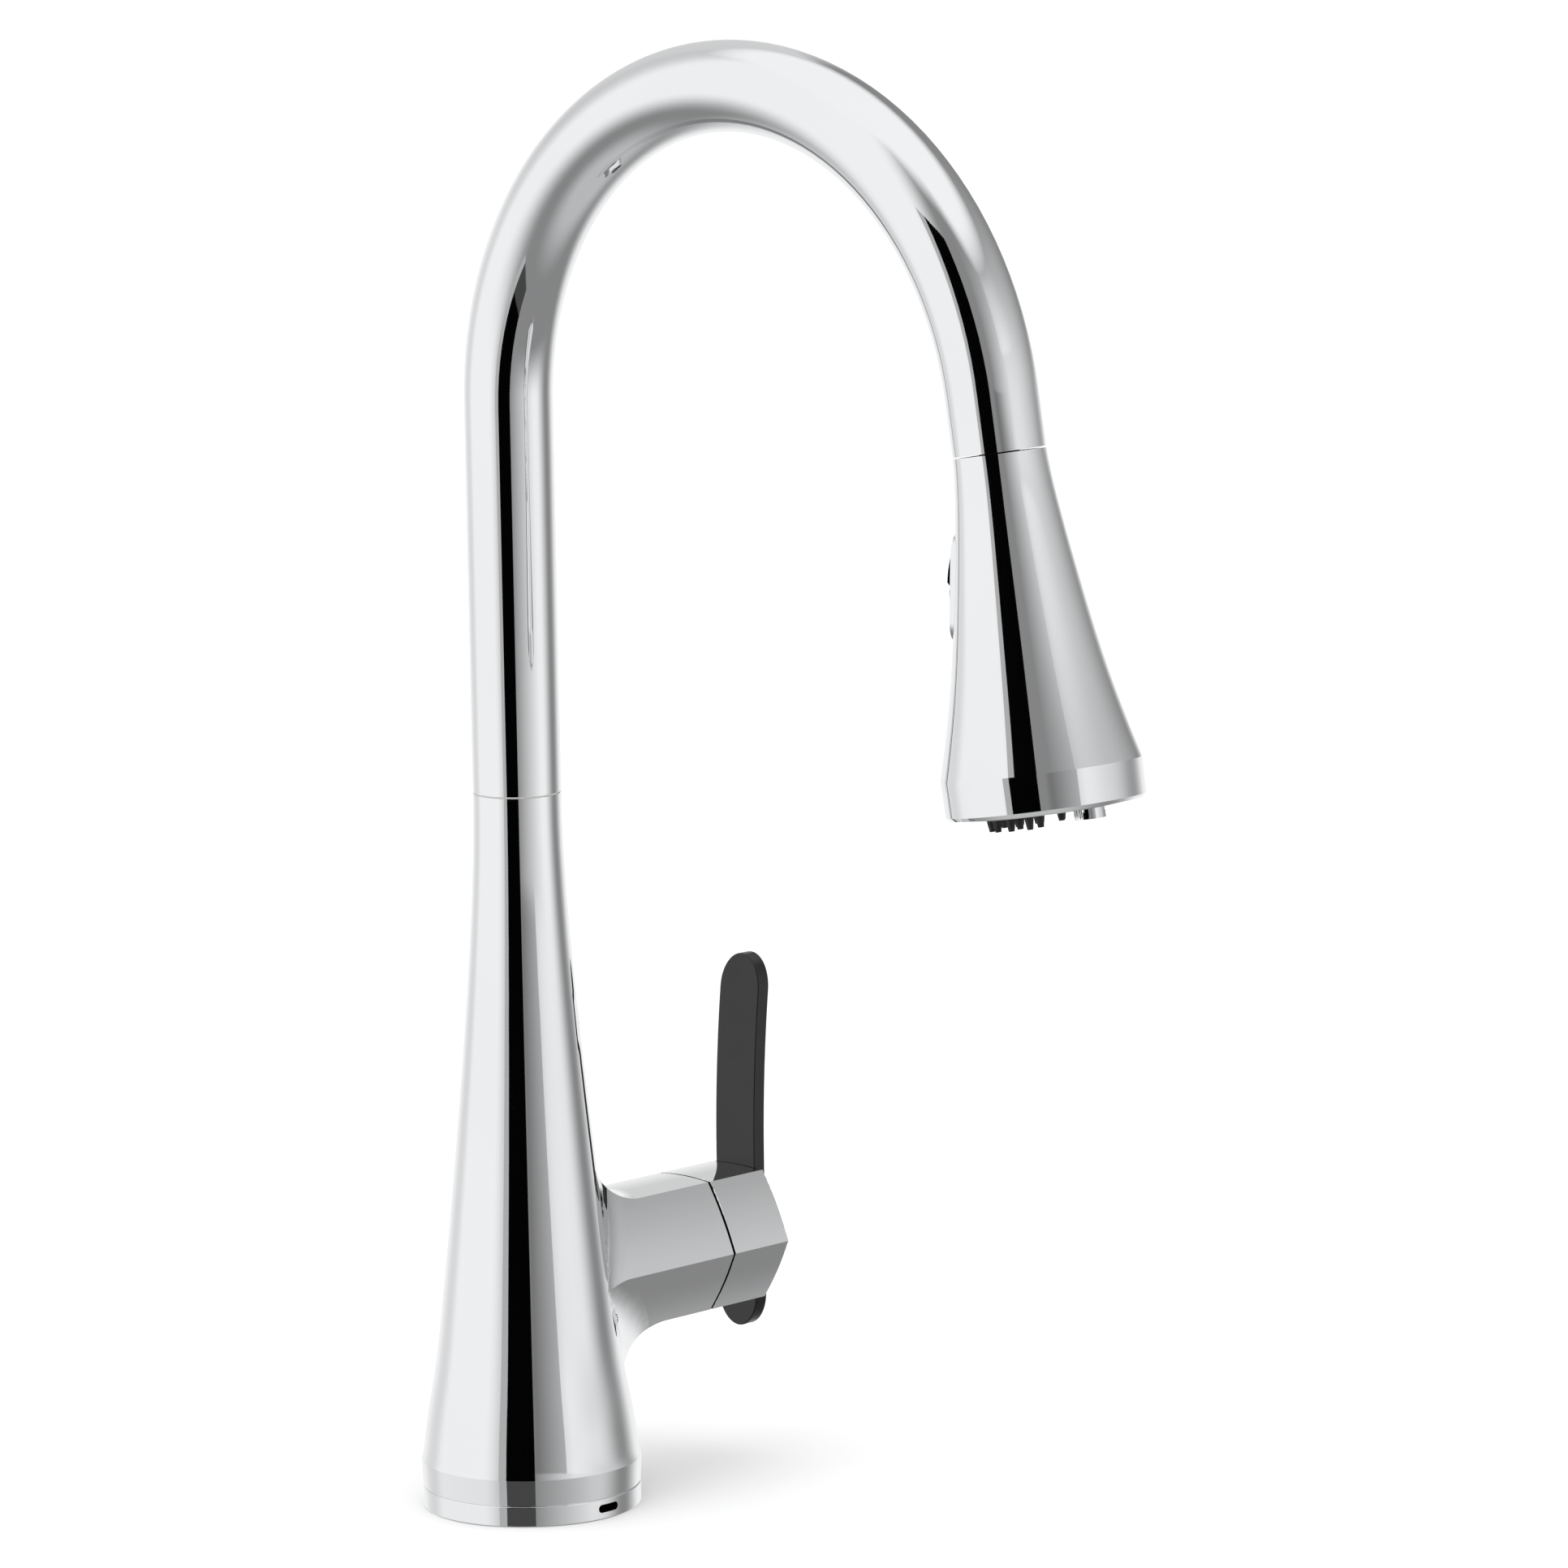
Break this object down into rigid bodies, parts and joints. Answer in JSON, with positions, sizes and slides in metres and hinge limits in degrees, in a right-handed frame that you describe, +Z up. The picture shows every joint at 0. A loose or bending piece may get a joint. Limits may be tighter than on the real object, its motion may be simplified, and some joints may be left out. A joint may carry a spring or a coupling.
{
  "type": "pull down kitchen faucet",
  "caption": "Deck-mounted pull-down kitchen faucet with a swivelling gooseneck spout, flared docked spray head, hexagonal side valve hub and flat lever.",
  "frame": {"origin": "centre of the mounting shank's socket in the plane of the deck", "axes": "+Z up along the body and the spout's swivel axis, -Y toward the user along the spout, +X toward the valve hub and lever"},
  "size_m": [0.1265, 0.2634, 0.4272],
  "materials": {
    "chrome": "polished chrome plate",
    "lever_black": "matte black coating",
    "black_rubber": "smooth rubber",
    "brass": "machined brass",
    "steel": "stainless steel",
    "copper": "drawn copper tube",
    "black_plastic": "satin black plastic",
    "satin_plastic": "satin chrome plated plastic",
    "grey_plastic": "moulded grey plastic",
    "white_plastic": "natural acetal",
    "red_plastic": "moulded red plastic",
    "ceramic": "lapped ceramic",
    "magnet": "coated magnet",
    "braided_hose": "dark braided sleeve over a pipe"
  },
  "bodies": {
    "root": {"base_gasket": "black_rubber", "base_ring": "chrome", "shank_socket": "brass", "port_plate": "brass", "hose_end_fitting": "brass", "body_shell": "chrome", "lower_bushing": "white_plastic", "upper_bushing": "white_plastic", "glide_washer": "white_plastic", "valve_block": "brass", "cold_tube": "copper", "hot_tube": "copper", "outlet_tube": "copper", "cartridge_seal": "black_rubber", "fixed_disc": "ceramic", "cartridge_housing": "grey_plastic", "cartridge_nut": "brass", "limit_ring": "red_plastic", "glide_ring": "black_plastic"},
    "cap": {"hub_cap": "chrome", "lever_pin": "steel", "pin_screw": "steel"},
    "lever": {"lever_bar": "lever_black", "lever_knuckle": "brass"},
    "stem": {"cartridge_stem": "grey_plastic"},
    "disc": {"moving_disc": "ceramic"},
    "spout": {"spout_tube": "chrome", "spout_stem": "brass", "lower_o_ring": "black_rubber", "upper_o_ring": "black_rubber", "retainer_clip": "steel", "dock_sleeve": "grey_plastic", "dock_magnet": "magnet", "dock_lip": "black_plastic", "hose_run": "braided_hose"},
    "hose_end": {"hose_lead": "braided_hose", "hose_ferrule": "steel", "hose_fitting": "brass"},
    "head": {"hose_seal": "black_rubber", "head_shell": "chrome", "head_collar": "steel", "head_inlet": "brass", "inlet_screen": "steel", "waterway": "grey_plastic", "check_valve": "grey_plastic", "diverter_spring": "steel", "face_plate": "satin_plastic", "nozzle_pad": "black_rubber", "aerator_housing": "chrome", "aerator_insert": "grey_plastic", "aerator_gasket": "black_rubber", "rocker_bezel": "satin_plastic", "rocker_pin": "steel"},
    "rocker": {"mode_rocker": "chrome"},
    "diverter": {"diverter_spool": "grey_plastic"}
  },
  "joints": [
    {"name": "spout_swivel", "type": "hinge", "parent": "root", "child": "spout", "pos_m": [0, 0, 0.19], "axis": [0, 0, 1], "continuous": true},
    {"name": "head_pull", "type": "slide", "parent": "spout", "child": "hose_end", "axis": [0, -0.1616, -0.9869], "range_m": [0, 0.2], "stiffness_N_per_m": 6, "springref_m": -0.9, "deforming": ["hose_lead"]},
    {"name": "head_turn", "type": "hinge", "parent": "hose_end", "child": "head", "pos_m": [0, -0.18927, 0.32039], "axis": [0, -0.1616, -0.9869], "continuous": true},
    {"name": "mode_tilt", "type": "hinge", "parent": "head", "child": "rocker", "pos_m": [-0.00596, -0.18287, 0.28389], "axis": [0.8988, 0.4326, -0.0708], "range_deg": [0, 8]},
    {"name": "diverter_shift", "type": "slide", "parent": "head", "child": "diverter", "axis": [0, 0.1616, 0.9869], "range_m": [0, 0.002], "deforming": ["diverter_spring"]},
    {"name": "temperature_turn", "type": "hinge", "parent": "root", "child": "cap", "pos_m": [0.076, 0, 0.066], "axis": [1, 0, 0], "range_deg": [-45, 45]},
    {"name": "lever_tilt", "type": "hinge", "parent": "cap", "child": "lever", "pos_m": [0.08, 0, 0.066], "axis": [0, 1, 0], "range_deg": [0, 18]},
    {"name": "stem_rock", "type": "hinge", "parent": "cap", "child": "stem", "pos_m": [0.05, 0, 0.066], "axis": [0, 1, 0], "range_deg": [-6.75, 0]},
    {"name": "disc_slide", "type": "slide", "parent": "cap", "child": "disc", "axis": [0, 0, -1], "range_m": [0, 0.0018]}
  ],
  "couplings": [
    {"joint": "stem_rock", "follows": "lever_tilt", "ratio": -0.37},
    {"joint": "disc_slide", "follows": "lever_tilt", "m_per_rad": 0.0055},
    {"joint": "diverter_shift", "follows": "mode_tilt", "m_per_rad": 0.014}
  ]
}
